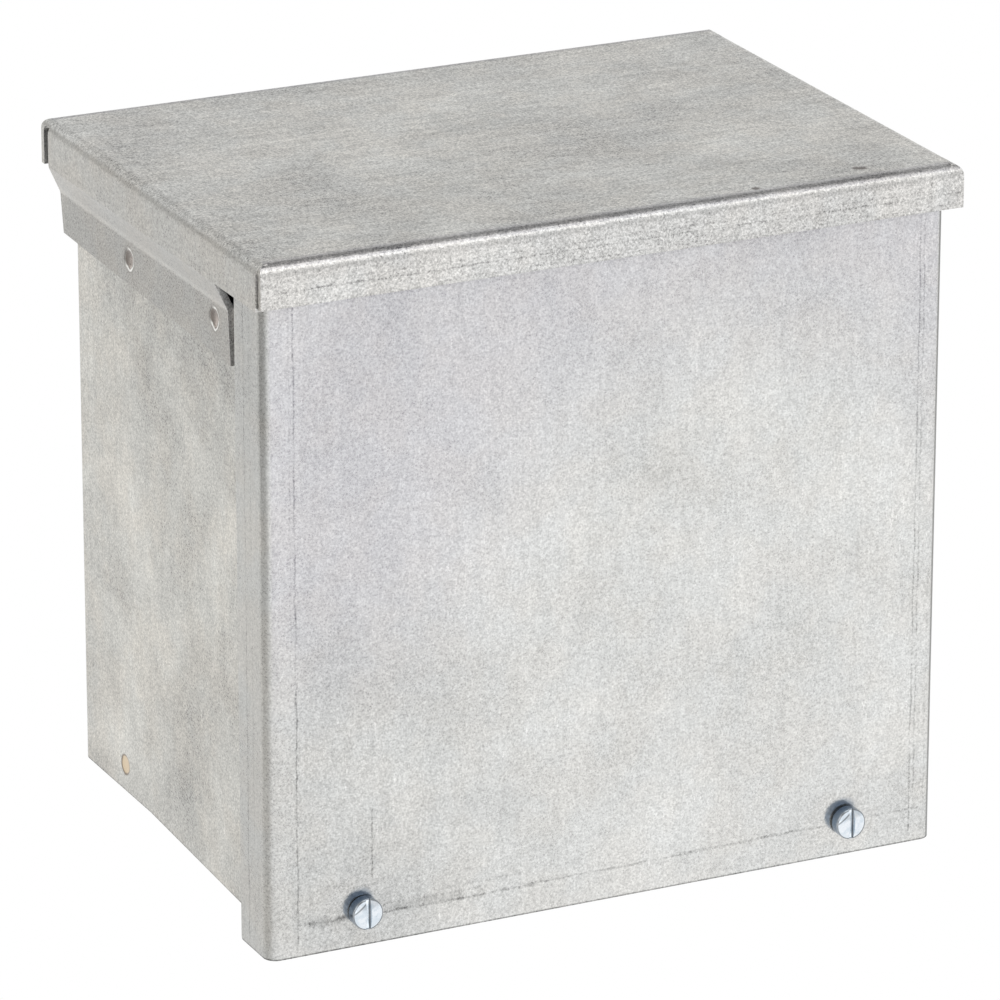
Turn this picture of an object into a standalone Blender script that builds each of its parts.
"""Rain-tight screw-cover junction box in galvanised sheet steel, nominal 6 x 6 x 4 inches.

Frame: +Z up, +X to the right, the cover faces -Y and the wall is at +Y.
x = 0 is the plane of symmetry, z = 0 is the underside of the cover, and y = 0 is
half way between the wall plane and the face of the front drip lip.

Each sheet piece is folded as a thin surface on its outer face, given its thickness,
then trimmed and drilled with hidden cutters that run a few millimetres past the metal.
"""
import math

import bmesh
import bpy
from mathutils import Matrix, Vector

MM = 0.001

# ---------------------------------------------------------------- driving dimensions
NAME = "electrical_junction_box"

SHEET = 1.42 * MM              # 16 gauge zinc-coated sheet
BEND = 2.8 * MM                # outside radius of every press-brake bend
BEND_STEPS = 5                 # facets along a right-angle bend
GAP = 0.3 * MM                 # clearance between pieces that touch in the real box
FIT = 0.38 * MM                # clearance of body top, bottom panel and nuts to the sheet by them
HOOD_TOP = 152.4 * MM

# body wrapper: back panel and both sides
BODY_W = 152.4 * MM            # outside width
BODY_D = 101.6 * MM            # back face of the back panel to the front edge
WALL_Y = 57.5 * MM             # the wall the box hangs on
STAND_OFF = 7.6 * MM           # air space between the wall and the back panel
BODY_TOP = HOOD_TOP - SHEET - FIT
BODY_LOW_REAR = 8.6 * MM       # bottom edge of the sides, rear part
BODY_LOW_FRONT = 5.2 * MM      # the same edge at the front, where it runs lower
BODY_LOW_KINK_Y = 12.5 * MM    # where the bottom edge starts to fall
RETURN_W = 11.5 * MM           # inward return along each front edge
TOP_FLANGE = 12.0 * MM         # forward flange along the top of the back panel
TOP_FLANGE_HALF = 72.9 * MM

HALF_W = BODY_W / 2
BACK_Y = WALL_Y - STAND_OFF    # outer face of the back panel
FRONT_EDGE_Y = BACK_Y - BODY_D

# embossed mounting bosses on the back panel
BOSS_PITCH = 101.6 * MM        # across and up
BOSS_DX = BOSS_PITCH / 2
BOSS_LOW_Z = 29.2 * MM
BOSS_HIGH_Z = BOSS_LOW_Z + BOSS_PITCH
BOSS_BASE_R = 12.0 * MM
BOSS_TOP_R = 7.6 * MM
BOSS_WALL = 1.12 * SHEET       # sloping wall of a boss, measured along its radius
BOSS_HOLE_R = 3.57 * MM        # clearance for a 1/4 inch screw
BOSS_SEGMENTS = 32

# drip hood
SKIRT_HALF = 80.5 * MM         # outside of the side skirts
LIP_HALF = 80.0 * MM           # half length of the drip lips
LIP_END_ROUND = 3.2 * MM       # rounding of the upper corner of each lip end
HOOD_FRONT = -WALL_Y           # face of the front lip
LIP_FRONT_H = 9.2 * MM
LIP_REAR_H = 10.2 * MM
LIP_TAB = 7.0 * MM             # from each lip's face to the inner edge of its top strip
SKIRT_H = 9.8 * MM
SKIRT_FRONT = -55.8 * MM
SKIRT_REAR = 52.6 * MM
JOGGLE_IN = SKIRT_HALF - SHEET - GAP - HALF_W    # inward step from skirt to welded flange
JOGGLE_DROP = 5.8 * MM
FLANGE_LOW = 125.3 * MM        # bottom edge of the welded flange, at its front
FLANGE_LOW_REAR = 128.1 * MM   # the same edge at the rear, where it runs higher
FLANGE_FRONT = -35.6 * MM      # front edge of joggle and flange, at the skirt
FLANGE_LEAN = 1.7 * MM         # how far that front edge leans forward at its foot
FLANGE_RAKE = 2.0 * MM         # how far the flange's rear edge leans forward at its foot

# slip-on cover
COVER_FACE = -53.6 * MM
COVER_SLIP = 0.5 * MM          # clearance between the side flanges and the body
COVER_HALF = HALF_W + SHEET + COVER_SLIP
COVER_TOP = 148.0 * MM
COVER_FLANGE = 14.0 * MM       # depth of the side flanges, from the face
COVER_FLANGE_TOP = 147.4 * MM
COVER_CORNER = 0.8 * MM        # rounded rear bottom corner of each side flange
COVER_CORNER_SEGMENTS = 32
COVER_HOLE_R = 2.45 * MM

# bottom panel: a pan with its flanges turned down
PAN_TOP = 21.9 * MM
PAN_HALF = 74.4 * MM
PAN_REAR = BACK_Y - SHEET - FIT
PAN_SIDE_H = 12.6 * MM         # side and rear flanges
PAN_LIP_HALF = 63.4 * MM
PAN_LIP_LOW = 2.6 * MM
PAN_LIP_FACE = FRONT_EDGE_Y
LIP_SLOT_R = 2.5 * MM          # open-bottom slot for each cover screw

# cover screws, No. 8 slotted fillister head, and their square nuts
SCREW_DX = 56.7 * MM
SCREW_Z = 8.0 * MM
SCREW_HEAD_R = 3.43 * MM
SCREW_HEAD_SIDE = 2.35 * MM    # height of the head's cylindrical side
SCREW_HEAD_H = 3.3 * MM
SCREW_DOME_STEPS = 5
SCREW_SLOT_W = 1.05 * MM
SCREW_SLOT_DEPTH = 1.7 * MM
SCREW_SHANK_R = 2.08 * MM
SCREW_SHANK_L = 12.7 * MM
SCREW_TIP_L = 0.7 * MM         # tapered end of the shank
SCREW_TIP_IN = 0.6 * MM        # radius lost along the taper
SCREW_SEGMENTS = 28
SCREW_SEAT_LEFT = 0.3 * MM     # under-head clearance at rest
SCREW_SEAT_RIGHT = 0.55 * MM   # the right one is not quite tight
NUT_W = 8.7 * MM
NUT_T = 3.1 * MM
NUT_CHAMFER = 0.35 * MM
NUT_BORE_R = 2.4 * MM
NUT_Y = PAN_LIP_FACE + SHEET + FIT    # front face of the nuts

# grounding screw, No. 10 hex washer head, pointing at the wall
GROUND_X = 0.0
GROUND_Z = 46.0 * MM
GROUND_FLANGE_R = 5.6 * MM
GROUND_FLANGE_H = 0.9 * MM
GROUND_CHAMFER = 0.3 * MM      # on the rim of the washer flange
GROUND_HEX = 7.94 * MM         # across flats
GROUND_HEAD_H = 3.6 * MM
GROUND_SHANK_R = 2.41 * MM
GROUND_SHANK_L = 7.9 * MM
GROUND_TIP_L = 0.8 * MM
GROUND_TIP_IN = 0.7 * MM
GROUND_SEGMENTS = 30
GROUND_HOLE_R = 2.75 * MM
GROUND_HOLE_SEGMENTS = 20
GROUND_SLOT_W = 1.3 * MM
GROUND_SLOT_HALF_L = 8.0 * MM  # half length of the slot cutter, past both sides of the hex
GROUND_SLOT_DEPTH = 1.6 * MM

# concentric knockouts in the bottom panel: radii of the sheared circles
KO_HALF_R = 11.1 * MM          # 1/2 inch trade size
KO_THREEQ_R = 14.1 * MM        # 3/4 inch trade size
KO_ONE_R = 17.3 * MM           # 1 inch trade size
KO_SHEAR = 0.3 * MM            # width of each sheared line
KO_Y = -1.5 * MM
KO_SIDE_X = 46.0 * MM
KO_SEGMENTS = 48

# piece that each sheared circle sets free, and the circle's radius
KO_CIRCLES = (
    ("slug", KO_HALF_R),
    ("ring_three_quarter", KO_THREEQ_R),
    ("ring_one_inch", KO_ONE_R),
)
# place, x, radius of the largest circle there
KNOCKOUTS = (
    ("left", -KO_SIDE_X, KO_THREEQ_R),
    ("centre", 0.0, KO_ONE_R),
    ("right", KO_SIDE_X, KO_THREEQ_R),
)

HOLE_SEGMENTS = 24             # screw holes, slot ends and nut bores
TOUCH = 1e-6                   # positions closer than this count as equal
SIDES = ((-1, "left"), (1, "right"))
X, Y, Z = 0, 1, 2
UP, DOWN = (0, 0, 1), (0, 0, -1)
FORWARD, BACK = (0, -1, 0), (0, 1, 0)


# ---------------------------------------------------------------- scene and materials
def clear_scene():
    for ob in list(bpy.data.objects):
        bpy.data.objects.remove(ob, do_unlink=True)


def make_collection(name):
    collection = bpy.data.collections.new(name)
    bpy.context.scene.collection.children.link(collection)
    return collection


def make_material(name, color, roughness, metallic):
    mat = bpy.data.materials.new(name)
    mat.use_nodes = True
    bsdf = mat.node_tree.nodes["Principled BSDF"]
    bsdf.inputs["Base Color"].default_value = (*color, 1.0)
    bsdf.inputs["Roughness"].default_value = roughness
    bsdf.inputs["Metallic"].default_value = metallic
    return mat


clear_scene()
parts = make_collection(NAME)
cutters = make_collection("cutters")

MAT = {
    "body": make_material("galvanised_side", color=(0.52, 0.51, 0.49), roughness=0.45,
                          metallic=0.9),
    "hood": make_material("galvanised_hood", color=(0.48, 0.47, 0.45), roughness=0.42,
                          metallic=0.9),
    "cover": make_material("galvanised_cover", color=(0.60, 0.60, 0.61), roughness=0.45,
                           metallic=0.9),
    "pan": make_material("galvanised_bottom", color=(0.50, 0.50, 0.50), roughness=0.45,
                         metallic=0.9),
    "slug": make_material("galvanised_knockout", color=(0.50, 0.50, 0.50), roughness=0.45,
                          metallic=0.9),
    "zinc": make_material("bright_zinc", color=(0.74, 0.78, 0.80), roughness=0.22,
                          metallic=1.0),
    "nut": make_material("zinc_nut", color=(0.66, 0.68, 0.70), roughness=0.30,
                         metallic=1.0),
    "green": make_material("green_dyed_zinc", color=(0.05, 0.32, 0.12), roughness=0.30,
                           metallic=0.6),
}


# ---------------------------------------------------------------- objects from meshes
def object_from_bmesh(name, bm, collection):
    mesh = bpy.data.meshes.new(name)
    bm.to_mesh(mesh)
    bm.free()
    ob = bpy.data.objects.new(name, mesh)
    collection.objects.link(ob)
    return ob


def make_part(name, bm, material):
    ob = object_from_bmesh(name, bm, parts)
    ob.data.materials.append(MAT[material])
    return ob


def make_cutter(name, bm):
    """A hidden helper that a boolean cuts, joins or trims with."""
    ob = object_from_bmesh(name, bm, cutters)
    ob.hide_render = True
    ob.display_type = "WIRE"
    return ob


# ---------------------------------------------------------------- sheet-metal folding
def flat_sheet(half_x, edge_a, edge_b, outward):
    """A rectangle between two edges along X, each given as (y, z), facing `outward`."""
    bm = bmesh.new()
    bmesh.ops.create_grid(bm, x_segments=1, y_segments=1, size=1.0)
    for v in bm.verts:
        y, z = edge_a if v.co.y < 0 else edge_b
        v.co = Vector((v.co.x * half_x, y, z))
    bm.normal_update()
    if bm.faces[:][0].normal.dot(Vector(outward)) < 0:
        bmesh.ops.reverse_faces(bm, faces=bm.faces)
    return bm


def score(bm, point, normal):
    """Cut an edge line across the sheet where a plane meets it."""
    bmesh.ops.bisect_plane(bm, geom=bm.verts[:] + bm.edges[:] + bm.faces[:],
                           plane_co=point, plane_no=normal)


def rim_at(bm, axis, value, half_x=math.inf):
    """Boundary edges lying at one value of an axis, within half_x of the middle."""
    return [e for e in bm.edges if e.is_boundary
            and all(abs(v.co[axis] - value) < TOUCH and abs(v.co.x) < half_x + TOUCH
                    for v in e.verts)]


def fold(bm, edges, steps):
    """Extrude an edge strip along a list of small moves, as a press brake folds a flange."""
    for step in steps:
        made = bmesh.ops.extrude_edge_only(bm, edges=edges)["geom"]
        verts = {g for g in made if isinstance(g, bmesh.types.BMVert)}
        edges = [g for g in made if isinstance(g, bmesh.types.BMEdge)
                 and g.verts[0] in verts and g.verts[1] in verts]
        for v in verts:
            v.co += Vector(step)


def bend(start, end):
    """Moves along a right-angle bend that starts along `start` and ends along `end`."""
    start, end = Vector(start), Vector(end)
    points = [start * math.sin(a) * BEND + end * (1 - math.cos(a)) * BEND
              for a in (math.pi / 2 * i / BEND_STEPS for i in range(BEND_STEPS + 1))]
    return [b - a for a, b in zip(points, points[1:])]


def flange(start, end, height):
    """Moves along a bend and the straight run after it; the height includes the bend."""
    return bend(start, end) + [Vector(end) * (height - BEND)]


def thicken(ob):
    """Give a folded surface its sheet thickness, away from its outer face."""
    mod = ob.modifiers.new("sheet", "SOLIDIFY")
    mod.thickness = SHEET
    mod.offset = -1.0
    mod.use_even_offset = True
    mod.use_quality_normals = True
    return ob


# ---------------------------------------------------------------- booleans and solids
def boolean(ob, other, operation):
    mod = ob.modifiers.new(operation.lower() + "_" + other.name, "BOOLEAN")
    mod.operation = operation
    mod.object = other
    mod.solver = "EXACT"


def cut(ob, other):
    boolean(ob, other, "DIFFERENCE")


def join(ob, other):
    boolean(ob, other, "UNION")


def box_mesh(low, high):
    bm = bmesh.new()
    bmesh.ops.create_cube(bm, size=1.0)
    for v in bm.verts:
        v.co = Vector((low[i] + (v.co[i] + 0.5) * (high[i] - low[i]) for i in range(3)))
    return bm


def box_cutter(name, low, high):
    # corners pass through single precision first
    return make_cutter(name, box_mesh(Vector(low), Vector(high)))


def cone_cutter(name, start, r_start, r_end, length, direction, segments):
    """A cone or cylinder that starts at `start` and runs along `direction`."""
    bm = bmesh.new()
    bmesh.ops.create_cone(bm, cap_ends=True, cap_tris=False, segments=segments,
                          radius1=r_start, radius2=r_end, depth=length)
    turn = Vector(UP).rotation_difference(Vector(direction)).to_matrix().to_4x4()
    bmesh.ops.transform(bm, matrix=turn, verts=bm.verts)
    bmesh.ops.translate(bm, vec=Vector(direction) * length / 2, verts=bm.verts)
    ob = make_cutter(name, bm)
    ob.location = start
    return ob


def drill(ob, name, start, radius, length, segments=HOLE_SEGMENTS, direction=BACK):
    """Cut a round hole that starts at `start` and runs along `direction`."""
    cut(ob, cone_cutter(name, start, radius, radius, length, direction, segments))


def turned(name, profile, steps, material, location, direction=UP, closed=False):
    """A turned piece: a profile of (radius, z) swept about local Z, which points along
    `direction`."""
    bm = bmesh.new()
    verts = [bm.verts.new((r, 0, z)) for r, z in profile]
    for a, b in zip(verts, verts[1:]):
        bm.edges.new((a, b))
    if closed:
        bm.edges.new((verts[-1], verts[0]))
    ob = make_part(name, bm, material)
    mod = ob.modifiers.new("turn", "SCREW")
    mod.axis = "Z"
    mod.angle = 2 * math.pi
    mod.steps = steps
    mod.render_steps = steps
    mod.use_merge_vertices = True
    mod.merge_threshold = 0.00001
    mod.use_smooth_shade = True
    ob.location = location
    ob.rotation_mode = "QUATERNION"
    ob.rotation_quaternion = Vector(UP).rotation_difference(Vector(direction))
    return ob


# ---------------------------------------------------------------- body wrapper
def build_body_wrap():
    """Back panel, two sides, the front returns and the top flange, folded from one sheet."""
    fold_z = BODY_TOP - BEND
    fold_x = HALF_W - BEND
    bm = flat_sheet(fold_x, (BACK_Y, BODY_LOW_FRONT), (BACK_Y, BODY_TOP), BACK)
    score(bm, (0, 0, fold_z), (0, 0, 1))
    for x in (-TOP_FLANGE_HALF, TOP_FLANGE_HALF):
        score(bm, (x, 0, 0), (1, 0, 0))
    for side, _ in SIDES:
        side_wall = flange((side, 0, 0), FORWARD, BODY_D - BEND)
        front_return = flange(FORWARD, (-side, 0, 0), RETURN_W)
        fold(bm, rim_at(bm, X, side * fold_x), side_wall + front_return)

    # between the sides the sheet above the fold line is cut away and the rest folds forward
    centres = {f: f.calc_center_median() for f in bm.faces}
    above = [f for f, c in centres.items()
             if c.z > fold_z and abs(c.x) < fold_x and c.y > BACK_Y - TOUCH]
    bmesh.ops.delete(bm, geom=above, context="FACES")
    fold(bm, rim_at(bm, Z, fold_z, TOP_FLANGE_HALF), flange(UP, FORWARD, TOP_FLANGE))

    wrap = thicken(make_part("body_wrap", bm, "body"))
    trim_body_bottom(wrap)
    for side, side_tag in ((-1, "l"), (1, "r")):
        for z, height_tag in ((BOSS_LOW_Z, "low"), (BOSS_HIGH_Z, "high")):
            press_boss(wrap, side_tag + height_tag, side * BOSS_DX, z)
    drill(wrap, "hole_ground", (GROUND_X, BACK_Y - 5 * MM, GROUND_Z), GROUND_HOLE_R,
          10 * MM, GROUND_HOLE_SEGMENTS)


def trim_body_bottom(wrap):
    """Bottom edge: level at the rear, falling towards the front."""
    past = 5 * MM
    low = -20 * MM
    overlap = 0.01 * MM        # of the two cutters
    slope = (BODY_LOW_REAR - BODY_LOW_FRONT) / (BODY_LOW_KINK_Y - FRONT_EDGE_Y)
    wedge = bmesh.new()
    bmesh.ops.create_cube(wedge, size=1.0)
    for v in wedge.verts:
        y = FRONT_EDGE_Y - past if v.co.y < 0 else BODY_LOW_KINK_Y
        edge_z = BODY_LOW_REAR - slope * (BODY_LOW_KINK_Y - y)
        v.co = Vector((v.co.x * 2 * BODY_W, y, edge_z if v.co.z > 0 else low))
    cut(wrap, make_cutter("cut_low_front", wedge))
    cut(wrap, box_cutter("cut_low_rear", (-BODY_W, BODY_LOW_KINK_Y - overlap, low),
                         (BODY_W, BACK_Y + past, BODY_LOW_REAR)))


def press_boss(wrap, tag, x, z):
    """One hollow mounting boss pressed out towards the wall, with its screw hole."""
    slope = (BOSS_BASE_R - BOSS_TOP_R) / STAND_OFF
    start = BACK_Y - SHEET / 2         # rooted half way into the sheet
    base_r = BOSS_BASE_R + slope * SHEET / 2
    join(wrap, cone_cutter("boss_" + tag, (x, start, z), base_r, BOSS_TOP_R,
                           WALL_Y - start, BACK, BOSS_SEGMENTS))
    lead = 3 * MM                      # how far in front of the boss the hollow starts
    dish_r = base_r - BOSS_WALL + slope * lead
    depth = WALL_Y - SHEET - (start - lead)
    cut(wrap, cone_cutter("dish_" + tag, (x, start - lead, z), dish_r,
                          dish_r - slope * depth, depth, BACK, BOSS_SEGMENTS))
    drill(wrap, "hole_" + tag, (x, start - 4 * MM, z), BOSS_HOLE_R, 20 * MM)


# ---------------------------------------------------------------- drip hood
def build_lip(name, face, height):
    """One drip lip with the strip of top plate behind it, rounded at both ends."""
    side = -1 if face < 0 else 1
    fold_y = face - side * BEND
    inner, outer = sorted((fold_y, face - side * LIP_TAB))
    # made over-long, then trimmed to length by the rounded box
    bm = flat_sheet(LIP_HALF + 2 * MM, (inner, HOOD_TOP), (outer, HOOD_TOP), UP)
    fold(bm, rim_at(bm, Y, fold_y), flange((0, side, 0), DOWN, height))
    lip = thicken(make_cutter(name, bm))
    ends = box_cutter(name + "_ends", (-LIP_HALF, -80 * MM, HOOD_TOP - 30 * MM),
                      (LIP_HALF, 80 * MM, HOOD_TOP + 0.01 * MM))
    rounding = ends.modifiers.new("round", "BEVEL")
    rounding.width = LIP_END_ROUND
    rounding.segments = BEND_STEPS
    rounding.limit_method = "WEIGHT"
    # only the two upper edges running front to back are rounded
    weights = ends.data.attributes.new("bevel_weight_edge", "FLOAT", "EDGE")
    for e in ends.data.edges:
        a, b = (ends.data.vertices[i].co for i in e.vertices)
        if a.z > HOOD_TOP and b.z > HOOD_TOP and abs(a.x - b.x) < TOUCH:
            weights.data[e.index].value = 1.0
    boolean(lip, ends, "INTERSECT")
    return lip


def trim_welded_flange(hood, side, tag, skirt_low, knee):
    """Slant the front, bottom and rear edges of one welded flange."""
    foot = FLANGE_LOW - 5 * MM         # underside of the cutters
    before = SKIRT_FRONT - 5 * MM
    behind = SKIRT_REAR + 8 * MM
    x_low, x_high = sorted((side * 70 * MM, side * 90 * MM))

    # joggle and flange start behind the cover's flange, with a front edge that leans forward
    front = box_cutter("cut_joggle_" + tag, (x_low, before, foot),
                       (x_high, FLANGE_FRONT, skirt_low))
    for v in front.data.vertices:
        if v.co.y > SKIRT_FRONT and v.co.z < skirt_low - 1 * MM:
            v.co.y -= FLANGE_LEAN * (skirt_low - foot) / (skirt_low - FLANGE_LOW)
    cut(hood, front)

    # the flange's bottom edge falls towards the front
    under = box_cutter("cut_foot_" + tag, (x_low, before, foot), (x_high, behind, knee))
    for v in under.data.vertices:
        if v.co.z > foot + 1 * MM:
            along = (v.co.y - FLANGE_FRONT) / (SKIRT_REAR - FLANGE_FRONT)
            v.co.z = FLANGE_LOW + along * (FLANGE_LOW_REAR - FLANGE_LOW)
    cut(hood, under)

    # the flange's rear edge leans forward towards its foot
    rake = box_cutter("cut_rake_" + tag, (x_low, SKIRT_REAR, foot), (x_high, behind, knee))
    for v in rake.data.vertices:
        if v.co.y < SKIRT_REAR + 1 * MM:
            v.co.y -= (knee - v.co.z) / (knee - FLANGE_LOW) * FLANGE_RAKE
    cut(hood, rake)


def build_drip_hood():
    """Top plate with side skirts that step in to the welded flanges, and two drip lips."""
    fold_x = SKIRT_HALF - BEND
    skirt_low = HOOD_TOP - SKIRT_H
    knee = skirt_low - JOGGLE_DROP     # where the joggle meets the flange
    spare = 1 * MM                     # trimmed off with the slanted foot
    bm = flat_sheet(fold_x, (SKIRT_FRONT, HOOD_TOP), (SKIRT_REAR, HOOD_TOP), UP)
    for side, _ in SIDES:
        steps = flange((side, 0, 0), DOWN, SKIRT_H)
        steps.append((-side * JOGGLE_IN, 0, -JOGGLE_DROP))
        steps.append((0, 0, -(knee - FLANGE_LOW + spare)))
        fold(bm, rim_at(bm, X, side * fold_x), steps)
    hood = thicken(make_part("drip_hood", bm, "hood"))
    for side, tag in SIDES:
        trim_welded_flange(hood, side, tag, skirt_low, knee)
    join(hood, build_lip("join_lip_front", HOOD_FRONT, LIP_FRONT_H))
    join(hood, build_lip("join_lip_rear", WALL_Y, LIP_REAR_H))


# ---------------------------------------------------------------- slip-on cover
def build_front_cover():
    """Front plate and two side flanges folded from one sheet, plain along the bottom edge."""
    fold_x = COVER_HALF - BEND
    bm = flat_sheet(fold_x, (COVER_FACE, 0.0), (COVER_FACE, COVER_TOP), FORWARD)
    for side, _ in SIDES:
        fold(bm, rim_at(bm, X, side * fold_x), flange((side, 0, 0), BACK, COVER_FLANGE))
    cover = thicken(make_part("front_cover", bm, "cover"))
    cut(cover, build_corner_cutter())
    for side, tag in SIDES:
        drill(cover, "hole_cover_" + tag, (side * SCREW_DX, COVER_FACE - 3 * MM, SCREW_Z),
              COVER_HOLE_R, 7 * MM)
    # flange tops sit just under the hood
    cut(cover, box_cutter("cut_flange_top",
                          (-2 * COVER_HALF, COVER_FACE + 3 * MM, COVER_FLANGE_TOP),
                          (2 * COVER_HALF, 0, COVER_TOP + 5 * MM)))


def build_corner_cutter():
    """A bar along X less a barrel, rounding the rear corner at the foot of both flanges."""
    centre_y = COVER_FACE + COVER_FLANGE - COVER_CORNER
    block = make_cutter("cut_flange_corner", box_mesh(
        (-2 * COVER_HALF, centre_y, -COVER_CORNER),
        (2 * COVER_HALF, centre_y + 2 * COVER_CORNER, COVER_CORNER)))
    barrel = bmesh.new()
    bmesh.ops.create_cone(barrel, cap_ends=True, segments=COVER_CORNER_SEGMENTS,
                          radius1=COVER_CORNER, radius2=COVER_CORNER, depth=5 * COVER_HALF)
    bmesh.ops.rotate(barrel, verts=barrel.verts, matrix=Matrix.Rotation(math.pi / 2, 3, "Y"))
    bmesh.ops.translate(barrel, verts=barrel.verts, vec=(0, centre_y, COVER_CORNER))
    cut(block, make_cutter("keep_flange_corner", barrel))
    return block


# ---------------------------------------------------------------- bottom panel
def build_bottom_panel():
    """A pan with down-turned flanges; its front lip takes the cover screws."""
    fold_x = PAN_HALF - BEND
    front_y = PAN_LIP_FACE + BEND
    rear_y = PAN_REAR - BEND
    bm = flat_sheet(fold_x, (front_y, PAN_TOP), (rear_y, PAN_TOP), UP)
    for x in (-PAN_LIP_HALF, PAN_LIP_HALF):
        score(bm, (x, 0, 0), (1, 0, 0))
    # edges, outward direction, height; all edges are picked before any is folded
    flanges = (
        (rim_at(bm, Y, front_y, PAN_LIP_HALF), FORWARD, PAN_TOP - PAN_LIP_LOW),
        (rim_at(bm, Y, rear_y), BACK, PAN_SIDE_H),
        (rim_at(bm, X, -fold_x), (-1, 0, 0), PAN_SIDE_H),
        (rim_at(bm, X, fold_x), (1, 0, 0), PAN_SIDE_H),
    )
    for edges, outward, height in flanges:
        fold(bm, edges, flange(outward, DOWN, height))
    pan = thicken(make_part("bottom_panel", bm, "pan"))

    slot_half = LIP_SLOT_R * 0.999     # a hair narrower than the slot's round end
    slot_start = PAN_LIP_FACE - 3 * MM
    for side, tag in SIDES:
        x = side * SCREW_DX
        drill(pan, "slot_end_" + tag, (x, slot_start, SCREW_Z), LIP_SLOT_R, 8 * MM)
        cut(pan, box_cutter("slot_" + tag, (x - slot_half, slot_start, -5 * MM),
                            (x + slot_half, PAN_LIP_FACE + 5 * MM, SCREW_Z)))
    for tag, x, radius in KNOCKOUTS:
        drill(pan, "ko_" + tag, (x, KO_Y, PAN_TOP - 6 * MM), radius, 12 * MM,
              KO_SEGMENTS, UP)


def build_knockouts():
    """Slugs and rings left in the bottom panel by the sheared circles."""
    top, bottom = PAN_TOP, PAN_TOP - SHEET
    for tag, x, largest in KNOCKOUTS:
        inner = 0.0
        for kind, radius in KO_CIRCLES:
            if radius > largest:
                break
            outer = radius - KO_SHEAR
            profile = [(inner, top), (outer, top), (outer, bottom), (inner, bottom)]
            turned(f"knockout_{kind}_{tag}", profile, KO_SEGMENTS, "slug", (x, KO_Y, 0),
                   closed=inner > 0)
            inner = radius


# ---------------------------------------------------------------- fasteners
def cut_screw_slot(screw, name, origin, half_x, half_z, head_h, depth):
    """Driver slot across the front of a head whose seat is at `origin`."""
    x, y, z = origin
    top = y - head_h
    cut(screw, box_cutter(name, (x - half_x, top - 2 * MM, z - half_z),
                          (x + half_x, top + depth, z + half_z)))


def build_cover_screw(tag, side, seat):
    """Slotted fillister screw; the local +Z axis points out of the head."""
    name = "cover_screw_" + tag
    dome = SCREW_HEAD_H - SCREW_HEAD_SIDE
    sphere_r = (SCREW_HEAD_R ** 2 + dome ** 2) / (2 * dome)
    dome_radii = [SCREW_HEAD_R * math.sin(math.pi / 2 * i / SCREW_DOME_STEPS)
                  for i in range(SCREW_DOME_STEPS + 1)]
    profile = [(r, SCREW_HEAD_SIDE + math.sqrt(sphere_r ** 2 - r ** 2) - (sphere_r - dome))
               for r in dome_radii]
    profile += [(SCREW_HEAD_R, 0.0), (SCREW_SHANK_R, 0.0),
                (SCREW_SHANK_R, -(SCREW_SHANK_L - SCREW_TIP_L)),
                (SCREW_SHANK_R - SCREW_TIP_IN, -SCREW_SHANK_L), (0.0, -SCREW_SHANK_L)]
    origin = (side * SCREW_DX, COVER_FACE - seat, SCREW_Z)
    screw = turned(name, profile, SCREW_SEGMENTS, "zinc", origin, FORWARD)
    cut_screw_slot(screw, "slot_" + name, origin, SCREW_SLOT_W / 2, 2 * SCREW_HEAD_R,
                   SCREW_HEAD_H, SCREW_SLOT_DEPTH)


def build_cover_nut(tag, side):
    """Square nut behind the bottom panel's front lip."""
    name = "cover_nut_" + tag
    x = side * SCREW_DX
    low = Vector((-NUT_W / 2, 0, -NUT_W / 2))
    high = Vector((NUT_W / 2, NUT_T, NUT_W / 2))
    nut = make_part(name, box_mesh(low, high), "nut")
    nut.location = (x, NUT_Y, SCREW_Z)
    edge = nut.modifiers.new("edges", "BEVEL")
    edge.width = NUT_CHAMFER
    edge.segments = 1
    past = 2 * MM
    drill(nut, "bore_" + name, (x, NUT_Y - past, SCREW_Z), NUT_BORE_R, NUT_T + 2 * past)


def build_ground_screw():
    """Hex washer head grounding screw in the back panel, head inside the box."""
    seat = BACK_Y - SHEET - GAP
    origin = (GROUND_X, seat, GROUND_Z)
    profile = [(0.0, GROUND_FLANGE_H), (GROUND_FLANGE_R - GROUND_CHAMFER, GROUND_FLANGE_H),
               (GROUND_FLANGE_R, GROUND_FLANGE_H - GROUND_CHAMFER), (GROUND_FLANGE_R, 0.0),
               (GROUND_SHANK_R, 0.0), (GROUND_SHANK_R, -(GROUND_SHANK_L - GROUND_TIP_L)),
               (GROUND_SHANK_R - GROUND_TIP_IN, -GROUND_SHANK_L), (0.0, -GROUND_SHANK_L)]
    screw = turned("ground_screw", profile, GROUND_SEGMENTS, "green", origin, FORWARD)
    # the hexagon is rooted half way into the washer flange
    root = GROUND_FLANGE_H / 2
    hex_r = GROUND_HEX / math.sqrt(3)
    join(screw, cone_cutter("join_hex", (GROUND_X, seat - root, GROUND_Z), hex_r, hex_r,
                            GROUND_HEAD_H - root, FORWARD, 6))
    cut_screw_slot(screw, "slot_ground", origin, GROUND_SLOT_HALF_L, GROUND_SLOT_W / 2,
                   GROUND_HEAD_H, GROUND_SLOT_DEPTH)


# ---------------------------------------------------------------- assembly
build_body_wrap()
build_bottom_panel()
build_drip_hood()
build_front_cover()
build_cover_screw("left", -1, SCREW_SEAT_LEFT)
build_cover_screw("right", 1, SCREW_SEAT_RIGHT)
for side, tag in SIDES:
    build_cover_nut(tag, side)
build_ground_screw()
build_knockouts()
